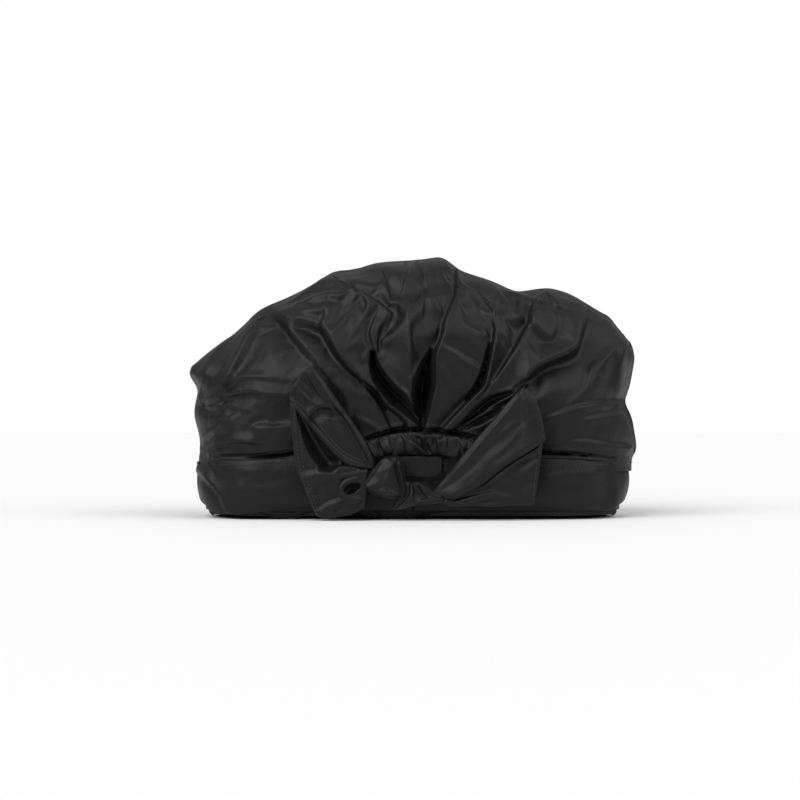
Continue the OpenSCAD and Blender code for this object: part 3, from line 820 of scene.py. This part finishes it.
TUNNEL_FOLDS = [
    ([(-33, 55), (-30, 48), (-27, 42)], 1.5, 2, -1.5, 2, 0.5, 0.6, 0.6),
    ([(-25, 58), (-22, 50), (-19, 45)], 2.5, 3, -2, 2, 0.5, 0.5, 0.6),
    ([(-17, 59), (-16, 52), (-13, 47)], -1.5, 2, 2, 2.5, 0.5, 0.7, 0.4),
    ([(-9, 60), (-6, 53), (-8, 47)], 1, 2, -1.5, 4, 0.5, 0.5, 0.3),
    ([(-4, 56), (2, 53), (7, 48), (13, 43)], -2.5, 4, 3.0, 5, 0.6, 0.4, 1.0),
    ([(2, 58), (8, 54), (12, 47)], 1.5, 3, -2.5, 3, 0.6, 0.4, 0.7),
    ([(14, 60), (16, 54), (16, 49)], 2, 1.6, -1.5, 2, 0.5, 0.7, 0.3),
    ([(24, 59), (23, 52), (25, 47)], -0.6, 4, 0.8, 4, 0.8, 0.5, 0.3),
    ([(30, 57), (33, 50), (34, 45)], 2, 2, -1.8, 2, 0.5, 0.5, 0.5),
    ([(38, 55), (40, 49)], 1.5, 2, -1.5, 2, 0.5, 0.6, 0.6),
]


def front_tunnel_place(u, v):
    across, out = band_turn(v)
    walked = u * ARCH_LENGTH
    rucks = ripple(walked, 40 * across, 5.6, 2.9) + 0.35 * ripple(walked, 16 * across, 2.3, 6.1)
    x, z = arch_point(2 * u - 1, ARCH_RADIUS - ARCH_BAND * (1 - across) * 0.95)
    edge = np.sqrt(np.maximum(1 - (2 * across - 1) ** 2, 0))
    z = z + 1.3 * ripple(walked, 8 * across, 7.0, 4.4) * (1 - across)
    x = x + 0.8 * ripple(walked, 10 * across, 4.5, 7.7) * edge
    outer = (out > 0) * edge
    y = ARCH_Y - out * 3.0 - outer * (0.8 * rucks + fold_heights(TUNNEL_FOLDS, x, z))
    return np.stack([x, y, z], 1)


front_tunnel = band_piece("front_tunnel", 190, 36, front_tunnel_place)
relaxes(front_tunnel, "outer_nylon", "front_casing")


def front_elastic_place(u, v):
    across, out = band_turn(v)
    x, z = arch_point((2 * u - 1) * 0.9, ARCH_RADIUS - 4 - 7 * (1 - across))
    return np.stack([x, ARCH_Y - 0.5 * out, z], 1)


front_elastic = band_piece("front_elastic_band", 60, 12, front_elastic_place)
relaxes(front_elastic, "elastic", "front_elastic")


# ---- Plain panel ----
# A plain piece of the cuff shows behind the knot. Its lower right corner is rounded,
# and a row of stitches runs down beside it.
PANEL_LEFT, PANEL_RIGHT = -30, 38
PANEL_LOW, PANEL_TOP = 17, 44
PANEL_EDGE_X = 20
PANEL_EDGE_Z = 28.5
PANEL_CORNER = 5
PANEL_Y = -49.6


def panel_place(u, v):
    across, out = band_turn(v)
    x = PANEL_LEFT + (PANEL_RIGHT - PANEL_LEFT) * u
    z = PANEL_LOW + (PANEL_TOP - PANEL_LOW) * across
    # The hemmed corner lies on top of the cloth beside it
    dx = x - PANEL_EDGE_X + PANEL_CORNER
    dz = PANEL_EDGE_Z + PANEL_CORNER - z
    beyond = np.hypot(np.maximum(dx, 0), np.maximum(dz, 0)) + np.minimum(np.maximum(dx, dz), 0)
    hem = 1 - smooth_step(-0.5, 0.7, beyond - PANEL_CORNER)
    sag = soft_noise(x / 13, 2.2, z / 9)
    streaks = soft_noise((x + z) / 5, 4.2, (x - z) / 22)
    y = PANEL_Y - out * 0.7 - 1.6 * hem - 0.9 * sag - 1.1 * streaks * (1 - hem)
    return np.stack([x, y, z], 1)


plain_panel = band_piece("plain_panel", 110, 60, panel_place)
relaxes(plain_panel, "outer_nylon", "front_panel")


# ---- Bow tails ----
# Each tail is a strip of the nylon gathered to a narrow neck at the knot. It is folded
# over lengthways, so that a front lobe lies over a back one, and it has a stitched hem.
def patch(edges, u, v):
    """A point of the surface between four edges: bottom and top over u, left and right
    over v. Each edge is a line of points in x and z."""
    def on(edge, t):
        line = smooth_line(edge)
        walked = distances(line)
        walked = walked / walked[-1]
        return np.stack([np.interp(t, walked, line[:, 0]), np.interp(t, walked, line[:, 1])], 1)

    bottom, top, left, right = edges
    corners = [np.array(p, float) for p in (bottom[0], bottom[-1], top[0], top[-1])]
    u1, v1 = u[:, None], v[:, None]
    ruled = (1 - v1) * on(bottom, u) + v1 * on(top, u) + (1 - u1) * on(left, v) + u1 * on(right, v)
    twist = ((1 - u1) * (1 - v1) * corners[0] + u1 * (1 - v1) * corners[1]
             + (1 - u1) * v1 * corners[2] + u1 * v1 * corners[3])
    return ruled - twist


def soft_patch(name, edges, depths, thick, folds, hollows=(), columns=70, rows=56,
               round_off=0.06, crumple=0.7, seed=1.3):
    """A soft closed leaf of cloth between four edges in x and z. depths are the y of its
    front at its four corners: bottom left, bottom right, top left, top right."""
    def place(u, v):
        side = np.where(u <= 0.5, 1.0, -1.0)
        across = 0.5 - 0.5 * np.cos(math.pi * np.where(u <= 0.5, 2 * u, 2 - 2 * u))
        along = 0.5 - 0.5 * np.cos(math.pi * v)
        x, z = patch(edges, across, along).T
        lean = (depths[0] * (1 - across) * (1 - along) + depths[1] * across * (1 - along)
                + depths[2] * (1 - across) * along + depths[3] * across * along)
        rim = np.minimum(np.minimum(across, 1 - across), np.minimum(along, 1 - along))
        plump = np.sqrt(np.clip(1 - (1 - np.clip(rim / round_off, 0, 1)) ** 2, 0, 1))
        soft = soft_noise(x / 15, seed, z / 15)
        # The smaller crumples run lengthways
        along_x, along_z = np.array(edges[1][-1], float) - np.array(edges[1][0], float)
        size = math.hypot(along_x, along_z)
        lengthways = (x * along_x + z * along_z) / size
        sideways = (x * along_z - z * along_x) / size
        crisp = creased_noise(lengthways / 22, seed, sideways / 9)
        lift = fold_heights(folds, x, z) - hollow_depths(hollows, x, z)
        lift = lift + crumple * (soft + 0.9 * crisp)
        middle = lean + thick / 2 - plump * np.minimum(lift, 0)
        front = middle - plump * (thick / 2 + np.maximum(lift, 0))
        back = middle + plump * thick / 2
        return np.stack([x, np.where(side > 0, front, back), z], 1)

    piece = grid_piece(name, 2 * columns, rows, place, scale=(200, 110))
    only(piece)
    bpy.ops.object.mode_set(mode="EDIT")
    bpy.ops.mesh.select_all(action="SELECT")
    bpy.ops.mesh.remove_doubles(threshold=0.00002)
    bpy.ops.mesh.normals_make_consistent(inside=False)
    bpy.ops.object.mode_set(mode="OBJECT")
    return piece


# The bottom, top, left and right edge of each lobe, in x and z, and its folds
LEFT_FRONT = (
    [(-84.5, 83), (-79, 75), (-74, 69), (-66, 59), (-57, 48), (-50, 41), (-43, 37), (-36, 36),
     (-29, 36)],
    [(-67.5, 104), (-61, 96), (-54, 86), (-45, 73), (-36, 60), (-30, 49), (-26.5, 40)],
    [(-84.5, 83), (-84, 89), (-80, 95), (-75.5, 102), (-71, 104), (-67.5, 104)],
    [(-29, 36), (-27, 37), (-26.5, 40)],
)
LEFT_FRONT_FOLDS = [
    ([(-83, 83), (-74, 74), (-62, 61), (-49, 47), (-36, 40)], -1.5, 4, 2.6, 7, 1.2, 0.6, 0.8),
    ([(-70, 64), (-70, 70), (-66, 75), (-60, 77), (-52, 75)], 2.6, 5, -3.2, 6, 1.0, 0.6, 0.2),
    ([(-61, 71), (-52, 71)], -1.4, 2, 1.2, 2, 0.6, 0.5, 0.5),
    ([(-73, 101), (-67, 90), (-58, 78)], 2.4, 6, -1.6, 8, 1.1, 0.7, 0.2),
    ([(-66, 97), (-56, 81), (-45, 67), (-37, 53), (-31, 42)], 1.6, 3, -1.6, 5, 0.9, 0.4, 0.8),
    ([(-80, 90), (-72, 82), (-63, 78)], 1.6, 5, -1.2, 5, 1.2, 0.5, 0.2),
    ([(-58, 62), (-48, 52), (-38, 44)], 1.0, 3, 1.0, 3, 0.8, 0.2, 0.6),
    ([(-76, 88), (-70, 82), (-66, 80)], -1.2, 3, 0.8, 3, 0.7, 0.6, 0.2),
]
LEFT_BACK = (
    [(-66, 3.5), (-62, 2), (-58, 1.6), (-52, 2.5), (-46, 3.6), (-40, 5.4), (-33, 9)],
    [(-84.6, 81), (-75, 80), (-60, 66), (-46, 55), (-33, 45)],
    [(-66, 3.5), (-69.5, 10), (-76, 25), (-80.4, 38), (-83, 60), (-84.6, 81)],
    [(-33, 9), (-31, 20), (-30, 32), (-33, 45)],
)
LEFT_BACK_FOLDS = [
    # the stitched edge stands over the dark hollow beside it
    ([(-81, 76), (-77, 60), (-72, 44), (-68, 35)], 2.0, 5, 0.5, 4, 1.0, 0.7, 0.6),
    # the lower lobe comes forward under the hollow
    ([(-77, 32), (-67, 33.5), (-58, 36), (-45, 38), (-32, 36)], -1.0, 4, 4.5, 14, 1.1, 0.3, 0.8),
    ([(-72, 18), (-62, 25), (-50, 29)], 1.4, 4, -1.2, 5, 0.7, 0.4, 0.4),
    ([(-66, 7), (-56, 13), (-46, 16)], -1.4, 4, 1.4, 4, 0.7, 0.4, 0.5),
    ([(-56, 3), (-52, 9), (-44, 12)], 1.2, 3, -1.2, 3, 0.7, 0.8, 0.4),
    ([(-36, 34), (-48, 32), (-58, 33)], 1.4, 3, -1.0, 4, 0.6, 0.9, 0.2),
]
LEFT_BACK_HOLLOWS = [
    ([(-79, 75, 0.6), (-71, 60, 5), (-64, 48, 8), (-58, 40, 7)], 8),
    ([(-38, 24, 2.0), (-43, 22, 4.0), (-46, 19, 1.5)], 5),
]
RIGHT_FRONT = (
    [(28, 15), (36, 19), (45.5, 24), (61, 36), (76.5, 46), (89, 54.5)],
    [(13, 20), (19, 27), (26, 36), (43, 56.5), (54, 69), (65, 81.5), (74, 91)],
    [(28, 15), (22, 15.5), (17, 17), (13, 20)],
    [(89, 54.5), (89.5, 58), (87, 71), (84, 81), (82, 85), (78, 89), (74, 91)],
)
RIGHT_FRONT_FOLDS = [
    ([(17, 21), (28, 34), (46, 55), (62, 74), (73, 88)], 0.6, 3, 1.8, 9, 0.9, 0.6, 0.5),
    ([(24, 17), (36, 22.5), (52, 33), (70, 44.5), (85, 54)], 1.8, 9, 1.0, 3, 0.9, 0.7, 0.9),
    ([(72, 86), (76, 70), (74, 58)], 1.4, 8, -1.4, 10, 1.6, 0.6, 0.1),
    ([(18, 20), (34, 30), (50, 46), (62, 62)], -1.2, 6, -0.6, 6, 1.2, 0.9, 0.2),
    ([(44, 37), (60, 50), (76, 60)], 0.8, 6, 0.8, 7, 1.5, 0.2, 0.2),
]
RIGHT_BACK = (
    [(19, 12.6), (27, 10), (40, 10.4), (52, 9.6), (66, 10.5), (74, 11), (78.5, 10.6), (82.4, 12.5)],
    [(20, 18), (40, 34), (62, 50), (78, 58), (88, 60)],
    [(19, 12.6), (18.5, 15), (20, 18)],
    [(82.4, 12.5), (84.4, 25), (86.4, 40), (88, 51), (88, 60)],
)
RIGHT_BACK_FOLDS = [
    ([(88, 50), (78, 44), (70, 38.5), (58, 28), (44, 19)], 0.6, 3, 2.6, 5, 0.5, 0.8, 0.3),
    ([(87, 46), (77, 41), (68, 35)], -1.8, 3, 1.6, 5, 0.5, 0.9, 0.2),
    ([(26, 13), (40, 17), (52, 20), (64, 17)], -1.2, 3, 1.8, 4, 0.6, 0.6, 0.2),
    ([(24, 12), (38, 12.5), (52, 14), (64, 14)], 1.0, 3, -1.2, 3, 0.6, 0.6, 0.2),
    ([(60, 26), (72, 20), (82, 15)], 1.0, 7, -0.6, 7, 1.2, 0.3, 0.5),
]


# Each stitch's length, how far it is to the next, and how thick the thread is
STITCH = 2.0
STITCH_PITCH = 2.7
THREAD_RADIUS = 0.33
FRONT = (0.0, -1.0, 0.0)


def twisted_thread():
    """Black polyester thread, lighter and duller in spots."""
    material, tree = blank_material("black_thread")
    twist = add_node(tree, "TexNoise", Vector=add_node(tree, "TexCoord").outputs["Object"],
                     Scale=1400).outputs["Fac"]
    dull = add_node(tree, "MapRange", Value=twist, To_Min=0.45, To_Max=0.75)
    tone = two_tones(tree, twist, (0.008, 0.008, 0.009), (0.03, 0.03, 0.032))
    set_node(tree.nodes["Principled BSDF"], Specular_IOR_Level=0.4, Base_Color=tone,
             Roughness=dull.outputs["Result"])
    return material


FINISHES["thread"] = twisted_thread()


def stitch_row(name, lines):
    """Stitches laid end to end along lines of x, y and z points, in mm."""
    deselect()
    bpy.ops.mesh.primitive_ico_sphere_add(subdivisions=1, radius=1)
    bead = bpy.context.object
    bead_places = vertex_places(bead) * MM
    bead_faces = [tuple(polygon.vertices) for polygon in bead.data.polygons]
    bpy.data.objects.remove(bead)
    vertices, faces = [], []
    for line in lines:
        line = np.array(line, float)
        walked = distances(line)
        for start in np.arange(0.3, walked[-1] - STITCH, STITCH_PITCH):
            ends = [np.array([np.interp(walk, walked, line[:, i]) for i in range(3)])
                    for walk in (start, start + STITCH)]
            along = Vector(ends[1] - ends[0])
            turn = np.array(along.to_track_quat("Z", "Y").to_matrix())
            shape = bead_places * [THREAD_RADIUS, THREAD_RADIUS, STITCH * 0.6]
            first = len(vertices) * len(bead_places)
            faces += [tuple(index + first for index in face) for face in bead_faces]
            vertices.append(shape @ turn.T + (ends[0] + ends[1]) / 2)
    mesh = bpy.data.meshes.new(name)
    mesh.from_pydata((np.concatenate(vertices) * MM).tolist(), [], faces)
    mesh.polygons.foreach_set("use_smooth", [True] * len(faces))
    piece = bpy.data.objects.new(name, mesh)
    bpy.context.scene.collection.objects.link(piece)
    return piece


def on_surface(piece, points, outwards, far=100, stand=0.15):
    """The points, in mm, moved outwards on to the face of a piece, which is looked for
    from this far out. Outwards is one direction, or one for each point."""
    placed = []
    for point, way in zip(*np.broadcast_arrays(points, outwards)):
        start = Vector((point + far * way) * MM)
        hit, place, _, _ = piece.ray_cast(start, Vector(-way), distance=far * MM)
        if hit:
            placed.append(np.array(place) / MM + stand * way)
    return placed


def hem_rows(edges, shares, v_from=0.05, v_to=0.93):
    """Rows of points that run up a patch at these shares of its width."""
    v = np.linspace(v_from, v_to, 70)
    return [[(x, 0, z) for x, z in patch(edges, np.full(70, share), v)] for share in shares]


def sewn_tail(front, back, hem):
    """Stitches the hem along the back lobe, and makes the two lobes one piece."""
    tail = front.name.replace("_cloth", "")
    stitches = stitch_row(tail + "_stitches", [on_surface(back, row, FRONT) for row in hem])
    only(front)
    back.select_set(True)
    bpy.ops.object.join()
    finished(front, tail, "outer_nylon", tail)
    finished(stitches, tail, "thread", tail + "_thread")


sewn_tail(
    soft_patch("left_tail_cloth", LEFT_FRONT, (-71, -67, -69.5, -65.5), 3.0, LEFT_FRONT_FOLDS,
               round_off=0.14),
    soft_patch("left_back", LEFT_BACK, (-65, -66, -66, -64), 3.6, LEFT_BACK_FOLDS,
               LEFT_BACK_HOLLOWS, seed=4.1),
    hem_rows(LEFT_BACK, (0.05, 0.10)))
sewn_tail(
    soft_patch("right_tail_cloth", RIGHT_FRONT, (-69.5, -72, -66.5, -69), 3.0,
               RIGHT_FRONT_FOLDS, round_off=0.12, crumple=0.6, seed=6.6),
    soft_patch("right_back", RIGHT_BACK, (-66, -67, -65, -66), 3.6, RIGHT_BACK_FOLDS,
               crumple=0.9, seed=8.8),
    hem_rows(RIGHT_BACK, (0.965,), v_to=0.8))


# ---- Knot ----
# The tails are knotted once. The wrap of the knot is a tight wad of cloth with a broad
# front facet, and a narrow one on its right where the cloth turns over its edge.
KNOT_EDGES = (
    [(-34.4, 22.5), (-29, 19), (-24, 17.5), (-19.5, 15.8), (-12, 14.4), (-7.5, 15.2)],
    [(-20, 43.6), (-17, 44.4), (-12, 44.2), (-8.3, 43.4)],
    [(-34.4, 22.5), (-34, 26), (-31, 32), (-26.5, 37.5), (-20, 43.6)],
    [(-7.5, 15.2), (-4.6, 20), (-5, 26), (-6, 33), (-8.3, 43.4)],
)
KNOT_FOLDS = [
    ([(-12.5, 45), (-11, 38), (-9, 29), (-7, 20), (-8, 14)], 1.6, 7, -3.5, 5, 0.5, 0.9, 1.0),
    ([(-35, 24), (-27, 19.5), (-20, 18), (-12, 17)], 1.4, 5, -2.5, 3, 0.5, 0.9, 0.9),
    ([(-20, 44), (-25, 36), (-32, 26)], -2.2, 5, 1.6, 8, 0.8, 0.8, 0.6),
    ([(-15, 43), (-17, 34), (-22, 24)], 1.6, 7, 0.6, 6, 1.0, 0.8, 0.2),
    ([(-27, 18), (-20, 22), (-12, 19)], -1.6, 3, 1.4, 4, 0.7, 0.5, 0.5),
    ([(-22, 16), (-17, 19), (-14, 16)], 1.2, 2, -1.2, 2, 0.6, 0.5, 0.5),
    ([(-17, 44), (-15, 41), (-11, 41)], -0.8, 1.5, 0.8, 2, 0.5, 0.8, 0.5),
]
knot = soft_patch("knot_wrap_cloth", KNOT_EDGES, (-71, -69.5, -70, -69), 13, KNOT_FOLDS,
                  round_off=0.34, crumple=0.8, seed=2.4)
finished(knot, "cap", "outer_nylon", "knot_wrap")


# ---- Ties ----
# On the knot's right the strap spreads in pleats to the neck of the right tail. On its
# left the cloth of the left tail is rolled into a small open curl.
RIGHT_TIE = (
    [(-15, 7.5), (-9, 8), (1, 10.4), (11, 11.5), (21, 12.4)],
    [(-8, 28), (-3, 27), (6.5, 26), (13, 20.4), (20, 17.4)],
    [(-15, 7.5), (-12, 13), (-10, 20), (-8, 28)],
    [(21, 12.4), (21.5, 15), (20, 17.4)],
)
RIGHT_TIE_FOLDS = [
    ([(-13, 8), (-7, 13), (-3, 18), (-2, 26)], -1.5, 2, 3.0, 4, 0.4, 1.0, 0.7),
    ([(-1, 26), (0, 19), (0, 12)], -2, 3, 1.5, 3, 0.4, 0.9, 0.4),
    ([(3, 27), (5, 21), (9, 16)], 1.8, 3, -2.0, 3, 0.4, 0.9, 0.5),
    ([(6, 26.5), (9, 22), (13, 19)], -1.5, 2, 1.5, 2, 0.4, 0.9, 0.7),
    ([(-4, 11), (6, 13), (18, 14.5)], 1.4, 3, -1.2, 3, 0.5, 0.4, 0.8),
    ([(4, 14), (12, 16.5), (19, 16)], -1.2, 2, 1.0, 2, 0.5, 0.3, 0.9),
]
right_tie = soft_patch("right_tie_cloth", RIGHT_TIE, (-65, -67, -64, -67.5), 5, RIGHT_TIE_FOLDS,
                       columns=60, rows=44, round_off=0.16, crumple=0.8, seed=3.7)
finished(right_tie, "cap", "outer_nylon", "right_tie")


def strap_piece(name, line, widths, depths, columns=80, rows=40, pleats=5):
    """A rolled strap along a line of x, y and z points, creased lengthways."""
    ways = [smooth_line([(point[0], point[i]) for point in line]) for i in (1, 2)]
    line = np.stack([ways[0][:, 0], ways[0][:, 1], ways[1][:, 1]], 1)
    walked = distances(line)
    walked = walked / walked[-1]

    def on(values, t):
        return np.interp(t, np.linspace(0, 1, len(values)), values)

    def point(t):
        return np.stack([np.interp(np.clip(t, 0, 1), walked, line[:, i]) for i in range(3)], 1)

    def place(u, v):
        along = point(u + 0.05) - point(u - 0.05)
        along = along / np.linalg.norm(along, axis=1)[:, None]
        across = np.cross(along, np.array([0, -1.0, 0]))
        across = across / np.linalg.norm(across, axis=1)[:, None]
        out = np.cross(across, along)
        turn = 2 * math.pi * v
        crease = np.abs(np.sin(turn * pleats / 2 + 2.2 * u)) ** 0.6
        close = np.sqrt(np.clip(1 - (2 * np.abs(u - 0.5)) ** 12, 0.02, 1))
        thick = (0.84 + 0.16 * crease) * close
        return (point(u) + across * (np.cos(turn) * on(widths, u) * thick)[:, None]
                + out * (np.sin(turn) * on(depths, u) * thick)[:, None])

    return band_piece(name, columns, rows, place)


curl = strap_piece(
    "left_curl_cloth",
    [(-36, -65, 28.5), (-40.5, -68.5, 28.6), (-46.5, -69.5, 26.2), (-49.5, -69.5, 21.5),
     (-47.5, -69, 16.8), (-42, -68, 14.8), (-37, -66, 15.6), (-33.5, -64, 17)],
    [2.0, 2.6, 2.2, 1.8, 2.4, 3.2, 3.6, 3.0], [1.6, 2.0, 2.0, 1.8, 2.0, 2.2, 2.2, 2.0])
finished(curl, "left_tail", "outer_nylon", "left_tie")


# ---- Other stitching ----
# Rows of the same black stitches hold the crown to the front tunnel, close the rim
# tunnel, run round the cuff's hem and run down beside the plain panel.
panel_line = [(PANEL_EDGE_X - 1.5, 0, z) for z in np.linspace(34, 43, 8)]
panel_stitches = stitch_row("panel_stitches", [on_surface(plain_panel, panel_line, FRONT)])
relaxes(panel_stitches, "thread", "panel_thread")

seam_u = np.linspace(-0.96, 0.96, 90)
seam_x, seam_z = arch_point(seam_u, ARCH_RADIUS - 2.0)
seam_stitches = stitch_row("crown_seam_stitches", [
    on_surface(front_tunnel, [(x, 0, z) for x, z in zip(seam_x, seam_z)], FRONT)])
relaxes(seam_stitches, "thread", "crown_seam_thread")


def round_band(piece, height, x_start, x_end):
    """A line of points round a band at one height, on its outer face."""
    run, cos, sin, _ = along_band(np.linspace(0.004, 0.996, 420), x_start, x_end)
    inside = on_rim(run, cos, sin, 35, np.full(420, height))
    return on_surface(piece, inside, np.stack([cos, sin, 0 * sin], 1), far=35, stand=0.1)


cuff_stitches = stitch_row("cuff_hem_stitches", [round_band(cuff, CUFF_HEM_Z, CUFF_FROM, CUFF_TO)])
relaxes(cuff_stitches, "thread", "cuff_hem_thread")
rim_stitches = stitch_row("rim_hem_stitches", [round_band(rim_tunnel, TUNNEL_HEM_Z, 0, 0)])
relaxes(rim_stitches, "thread", "rim_hem_thread")


# ---- Floor and light ----
# A plain pale floor in a white room that is brightest overhead. Two broad soft lamps
# light the cap, from above on the front left and on the front right.
FLOOR_HALF = 4.0
deselect()
bpy.ops.mesh.primitive_plane_add(size=2 * FLOOR_HALF, location=(0, 0, 0))
floor = bpy.context.object
floor.name = "floor"
floor_paint, floor_tree = blank_material("floor_paint")
set_node(floor_tree.nodes["Principled BSDF"], Base_Color=(0.86, 0.86, 0.87, 1), Roughness=0.7)
floor.data.materials.append(floor_paint)


def broad_light(name, towards, power, spread):
    data = bpy.data.lights.new(name, "SUN")
    data.energy = power
    data.angle = math.radians(spread)
    lamp = bpy.data.objects.new(name, data)
    lamp.rotation_euler = Vector(towards).to_track_quat("-Z", "Y").to_euler()
    bpy.context.scene.collection.objects.link(lamp)


broad_light("left_light", (0.7, 0.85, -0.9), 2.25, 52)
broad_light("right_light", (-0.95, 0.5, -0.85), 1.2, 52)
WHITE = (1, 1, 1, 1)
world = bpy.data.worlds.new("studio")
world.use_nodes = True
room = world.node_tree
way = add_node(room, "SeparateXYZ", Vector=add_node(room, "TexCoord").outputs["Generated"])
overhead = add_node(room, "MapRange", Value=way.outputs["Z"], From_Min=-0.1, From_Max=0.9,
                    To_Min=0.2, To_Max=0.62)
light = set_node(room.nodes["Background"], Color=WHITE, Strength=overhead.outputs["Result"])
seen = add_node(room, "Background", Color=WHITE)
either = add_node(room, "MixShader", Fac=add_node(room, "LightPath").outputs["Is Camera Ray"])
room.links.new(light.outputs["Background"], either.inputs[1])
room.links.new(seen.outputs["Background"], either.inputs[2])
set_node(room.nodes["World Output"], Surface=either.outputs["Shader"])
bpy.context.scene.world = world
bpy.context.scene.view_settings.view_transform = "Standard"
